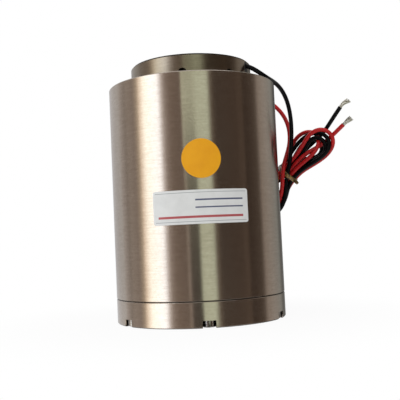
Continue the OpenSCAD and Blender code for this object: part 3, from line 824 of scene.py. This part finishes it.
# Two colours that mix in patches, whose size is in millimetres
plainLooks = {
    "screwSteel": {"colour": (0.42, 0.4, 0.38), "second": (0.1, 0.095, 0.09), "metal": 1,
                   "rough": 0.24, "patch": 1.8, "sharp": 5.0},
    "blackScrew": {"colour": (0.05, 0.05, 0.055), "second": (0.09, 0.085, 0.08), "metal": 0.6,
                   "rough": 0.42, "patch": 2.0},
    "magnetNickel": {"colour": (0.66, 0.65, 0.62), "second": (0.58, 0.56, 0.52), "metal": 1,
                     "rough": 0.2, "patch": 9.0},
    "copperWire": {"colour": (0.62, 0.27, 0.1), "second": (0.5, 0.19, 0.06), "metal": 1,
                   "rough": 0.3, "patch": 3.0},
    "blackRubber": {"colour": (0.03, 0.03, 0.03), "second": (0.05, 0.05, 0.05), "metal": 0,
                    "rough": 0.65, "patch": 2.0},
    "blackInsulation": {"colour": (0.003, 0.003, 0.004), "second": (0.006, 0.006, 0.007),
                        "metal": 0, "rough": 0.3, "patch": 5.0, "specular": 0.1},
    "redInsulation": {"colour": (0.6, 0.016, 0.018), "second": (0.46, 0.01, 0.013), "metal": 0,
                      "rough": 0.34, "patch": 5.0, "specular": 0.3},
    "tinnedWire": {"colour": (0.66, 0.64, 0.57), "second": (0.4, 0.38, 0.33), "metal": 1,
                   "rough": 0.34, "patch": 1.0},
    "tieFilm": {"colour": (0.36, 0.2, 0.05), "second": (0.05, 0.05, 0.025), "metal": 0,
                "rough": 0.24, "patch": 1.0, "sharp": 7.0},
    "labelFilm": {"colour": (0.82, 0.83, 0.82), "second": (0.75, 0.76, 0.75), "metal": 0,
                  "rough": 0.35, "patch": 5.0},
    "stickerFilm": {"colour": (0.92, 0.42, 0.006), "second": (0.86, 0.37, 0.005), "metal": 0,
                    "rough": 0.45, "patch": 8.0, "specular": 0.25},
}

# What the looks above share, unless one says otherwise
plainFinish = {
    "sharp": 2.5,
    "specular": 0.5,
    "roughSpread": 0.08,
    "bump": 0.25,
    "depth": 0.02,         # millimetres
}


def makePlain(name, look):
    look = {**plainFinish, **look}
    material, tree, shader = newMaterial(name)
    marks = useGroup(tree, patches, **{"Size mm": look["patch"], "Sharpness": look["sharp"]})
    mask = marks.outputs["Mask"]
    tree.links.new(mixColours(tree, mask, look["colour"], look["second"]),
                   shader.inputs["Base Color"])
    shader.inputs["Metallic"].default_value = look["metal"]
    shader.inputs["Specular IOR Level"].default_value = look["specular"]
    smoothest = look["rough"] - look["roughSpread"] / 2
    rough = doMath(tree, "MULTIPLY_ADD", mask, look["roughSpread"], smoothest)
    tree.links.new(rough, shader.inputs["Roughness"])
    bump = add(tree, "ShaderNodeBump", Strength=look["bump"], Distance=look["depth"] * mm)
    tree.links.new(mask, bump.inputs["Height"])
    tree.links.new(bump.outputs[0], shader.inputs["Normal"])
    return material


for name, look in plainLooks.items():
    materials[name] = makePlain(name, look)
print("plain finishes made")

# Plain ruled lines on the label. Each is a colour, its start and end along the label from
# the label's middle, and its lower and upper edge, in millimetres.
labelRules = {
    "middle": 2.7,         # degrees from the front
    "radius": 40.02,       # millimetres
    "cover": 0.92,         # share of the line's colour that hides the film's
    "lines": [
        ((0.035, 0.05, 0.14), -2.5, 18.8, 54.2, 54.9),
        ((0.035, 0.05, 0.14), -2.5, 18.8, 51.0, 51.6),
        ((0.45, 0.03, 0.04), -19.0, 18.8, 46.8, 47.8),
        ((0.25, 0.26, 0.28), -20.4, 20.4, 45.2, 45.4),
        ((0.25, 0.26, 0.28), -20.4, 20.4, 57.6, 57.8),
    ],
}


def alongAndHeight(tree, x, y, z):
    angle = angleFromFront(tree, x, y)
    angle = doMath(tree, "SUBTRACT", angle, math.radians(labelRules["middle"]))
    along = doMath(tree, "MULTIPLY", angle, labelRules["radius"])
    return along, doMath(tree, "MULTIPLY", z, 1000.0)


def drawLabelLines(material, rules):
    tree = material.node_tree
    socket = tree.nodes["Principled BSDF"].inputs["Base Color"]
    colour = socket.links[0].from_socket
    group = makeBandMask("labelLine", ("Start", "End", "Low", "High"), alongAndHeight)
    for tone, start, end, low, high in rules["lines"]:
        line = useGroup(tree, group, **{"Start": start, "End": end, "Low": low, "High": high})
        cover = doMath(tree, "MULTIPLY", line.outputs["Mask"], rules["cover"])
        colour = mixColours(tree, cover, colour, tone)
    tree.links.new(colour, socket)


drawLabelLines(materials["labelFilm"], labelRules)


def dress(piece, material):
    data = piece.data
    data.materials.clear()
    data.materials.append(materials[material])


# A slot's name in this script's spelling: housing_steel is housingSteel
def materialOf(slot):
    first, *rest = slot.split("_")
    return first + "".join(word.capitalize() for word in rest)


nodeSlots = {part["node"]: part["material_slot"] for part in frame["record"]["subparts"]}
for name, piece in nodes.items():
    dress(piece, materialOf(nodeSlots[name]))
dress(tieBand, "tieFilm")
dress(tieTail, "tieFilm")
print("pieces dressed")

# The room's wall, floor and sky, in metres
studio = {
    "wallRadius": 0.9,
    "wallLow": -0.8,
    "wallHigh": 1.6,
    "wallSides": 96,
    "wallGlow": 0.92,      # brightness of the wall at the floor
    "wallRise": 0.6,       # how much brighter it grows per metre above the floor
    "wallFall": 2.2,       # the same per metre below the floor
    "wallLimit": 1.3,
    "skyFill": 0.62,
    "floorSize": 3.0,
    "floorLow": -0.0002,
    "floorTone": (0.93, 0.93, 0.93),
    "floorPlain": 0.93,    # share of plain white in the floor next to the part
    "floorFade": (0.05, 0.13),  # distances from the axis over which it grows to all
}

# Tone of the room round the part, by the angle from the camera's side, right side positive
roomTones = [
    (-180, (0.62, 0.62, 0.64)), (-121, (0.7, 0.7, 0.7)), (-115, (0.57, 0.53, 0.51)),
    (-104, (0.38, 0.34, 0.31)), (-98, (0.47, 0.42, 0.38)), (-86, (0.39, 0.335, 0.3)),
    (-79, (0.7, 0.6, 0.47)), (-74, (1.75, 1.55, 1.3)), (-67, (2.4, 2.5, 2.4)),
    (-52, (2.4, 2.55, 2.7)), (-46, (2.1, 2.25, 2.45)), (-41, (0.82, 0.74, 0.7)),
    (-37, (0.4, 0.33, 0.29)), (-30, (0.28, 0.22, 0.18)), (-15, (0.23, 0.18, 0.15)),
    (-14, (0.42, 0.36, 0.31)), (-12, (0.38, 0.32, 0.28)), (-10, (0.09, 0.07, 0.06)),
    (1, (0.06, 0.05, 0.04)), (4, (0.8, 0.9, 0.71)), (19.5, (0.84, 0.95, 0.76)),
    (24, (0.2, 0.16, 0.125)), (30, (0.085, 0.064, 0.048)), (60, (0.1, 0.072, 0.054)),
    (67, (0.15, 0.112, 0.085)), (72, (0.07, 0.05, 0.038)), (92, (0.11, 0.084, 0.066)),
    (99, (0.42, 0.37, 0.33)), (113, (0.47, 0.44, 0.41)), (135, (0.37, 0.38, 0.36)),
    (146, (0.15, 0.15, 0.14)), (180, (0.3, 0.3, 0.3)),
]


# Stage pieces that only mirrors see
def onlyMirrored(piece):
    for ray in ("camera", "diffuse", "shadow", "transmission", "volume_scatter"):
        setattr(piece, "visible_" + ray, False)


# A material with no nodes yet, on a stage piece
def stageMaterial(piece):
    material = bpy.data.materials.new(piece.name)
    material.use_nodes = True
    material.node_tree.nodes.clear()
    piece.data.materials.append(material)
    return material.node_tree


def setSurface(tree, shader, kind="ShaderNodeOutputMaterial"):
    tree.links.new(shader.outputs[0], add(tree, kind).inputs[0])


def blendShaders(tree, factor, first, second):
    node = add(tree, "ShaderNodeMixShader")
    tree.links.new(factor, node.inputs[0])
    tree.links.new(first.outputs[0], node.inputs[1])
    tree.links.new(second.outputs[0], node.inputs[2])
    return node


def makeRoomWall(look, tones):
    bm = bmesh.new()
    bmesh.ops.create_circle(bm, segments=look["wallSides"], radius=look["wallRadius"],
                            matrix=Matrix.Translation((0, 0, look["wallLow"])))
    made = bmesh.ops.extrude_edge_only(bm, edges=bm.edges[:])
    tops = [item for item in made["geom"] if isinstance(item, bmesh.types.BMVert)]
    bmesh.ops.translate(bm, verts=tops, vec=(0, 0, look["wallHigh"] - look["wallLow"]))
    wall = newPiece("roomWall", bm)
    onlyMirrored(wall)
    tree = stageMaterial(wall)
    x, y, z = splitPlace(tree, objectPlace(tree))
    turns = doMath(tree, "MULTIPLY_ADD", angleFromFront(tree, x, y), 0.5 / math.pi, 0.5)
    ramp = add(tree, "ShaderNodeValToRGB")
    tree.links.new(turns, ramp.inputs[0])
    stops = ramp.color_ramp.elements
    while len(stops) > 1:
        stops.remove(stops[-1])
    for i, (degrees, tone) in enumerate(tones):
        position = degrees / 360 + 0.5
        stop = stops[0] if i == 0 else stops.new(position)
        stop.position = position
        stop.color = (*tone, 1)
    rise = doMath(tree, "MULTIPLY_ADD", z, look["wallRise"], look["wallGlow"])
    fall = doMath(tree, "MULTIPLY_ADD", z, -look["wallFall"], look["wallGlow"])
    level = doMath(tree, "MINIMUM", doMath(tree, "MAXIMUM", rise, fall), look["wallLimit"])
    glow = add(tree, "ShaderNodeEmission")
    tree.links.new(ramp.outputs[0], glow.inputs["Color"])
    tree.links.new(level, glow.inputs["Strength"])
    setSurface(tree, glow)


# A small light panel close to the part, which only its upper half mirrors, in millimetres
nearPanel = {
    "left": -44,
    "right": 10,
    "low": 100,
    "high": 200,
    "front": -190,
    "tone": (1.0, 1.1, 0.86),
}


def makeNearPanel(look):
    bm = bmesh.new()
    centre = ((look["left"] + look["right"]) / 2 * mm, look["front"] * mm,
              (look["low"] + look["high"]) / 2 * mm)
    size = ((look["right"] - look["left"]) * mm, 1, (look["high"] - look["low"]) * mm)
    bmesh.ops.create_grid(bm, x_segments=1, y_segments=1, size=0.5,
                          matrix=Matrix.Rotation(math.pi / 2, 4, "X"))
    bmesh.ops.scale(bm, verts=bm.verts[:], vec=size)
    bmesh.ops.translate(bm, verts=bm.verts[:], vec=centre)
    panel = newPiece("nearPanel", bm)
    onlyMirrored(panel)
    tree = stageMaterial(panel)
    glow = add(tree, "ShaderNodeEmission")
    glow.inputs["Color"].default_value = (*look["tone"], 1)
    setSurface(tree, glow)


# The floor shows a faint shadow round the part, plain white further out, and nothing from below
def makeFloor(look):
    bm = bmesh.new()
    bmesh.ops.create_grid(bm, x_segments=1, y_segments=1, size=look["floorSize"],
                          matrix=Matrix.Translation((0, 0, look["floorLow"])))
    floor = newPiece("floor", bm)
    floor.visible_glossy = False
    tree = stageMaterial(floor)
    reach = add(tree, "ShaderNodeVectorMath", operation="LENGTH")
    tree.links.new(objectPlace(tree), reach.inputs[0])
    near, far = look["floorFade"]
    fade = add(tree, "ShaderNodeMapRange",
               **{"From Min": near, "From Max": far, "To Min": look["floorPlain"]})
    fade.interpolation_type = "SMOOTHSTEP"
    tree.links.new(reach.outputs["Value"], fade.inputs[0])
    seen = add(tree, "ShaderNodeLightPath").outputs["Is Camera Ray"]
    plain = doMath(tree, "MULTIPLY", fade.outputs[0], seen)
    matte = add(tree, "ShaderNodeBsdfDiffuse")
    matte.inputs["Color"].default_value = (*look["floorTone"], 1)
    above = blendShaders(tree, plain, matte, add(tree, "ShaderNodeEmission"))
    below = add(tree, "ShaderNodeNewGeometry").outputs["Backfacing"]
    setSurface(tree, blendShaders(tree, below, above, add(tree, "ShaderNodeBsdfTransparent")))


# White where it is seen or mirrored, dimmer as a light
def makeSky(look):
    world = bpy.data.worlds.new("studio")
    scene.world = world
    world.use_nodes = True
    tree = world.node_tree
    tree.nodes.clear()
    seen = add(tree, "ShaderNodeLightPath")
    direct = doMath(tree, "MAXIMUM", seen.outputs["Is Camera Ray"], seen.outputs["Is Glossy Ray"])
    direct = doMath(tree, "MAXIMUM", direct, seen.outputs["Is Transmission Ray"])
    level = add(tree, "ShaderNodeMix", data_type="FLOAT")
    tree.links.new(direct, level.inputs[0])
    level.inputs[2].default_value = look["skyFill"]
    level.inputs[3].default_value = 1.0
    back = add(tree, "ShaderNodeBackground")
    back.inputs["Color"].default_value = (1, 1, 1, 1)
    tree.links.new(level.outputs[0], back.inputs["Strength"])
    setSurface(tree, back, "ShaderNodeOutputWorld")


keyLight = {
    "place": (-0.5, -0.6, 0.75),  # metres
    "target": (0, 0, 0.06),
    "size": (0.9, 0.9),
    "power": 3.0,
}


def makeLamp(name, look):
    data = bpy.data.lights.new(name, "AREA")
    data.shape = "RECTANGLE"
    data.size, data.size_y = look["size"]
    data.energy = look["power"]
    lamp = newObject(name, data)
    lamp.location = look["place"]
    way = Vector(look["target"]) - Vector(look["place"])
    lamp.rotation_euler = way.to_track_quat("-Z", "Y").to_euler()
    lamp.visible_glossy = False


makeRoomWall(studio, roomTones)
makeNearPanel(nearPanel)
makeFloor(studio)
makeSky(studio)
makeLamp("keyLamp", keyLight)
scene.view_settings.view_transform = "Standard"
print("studio made")
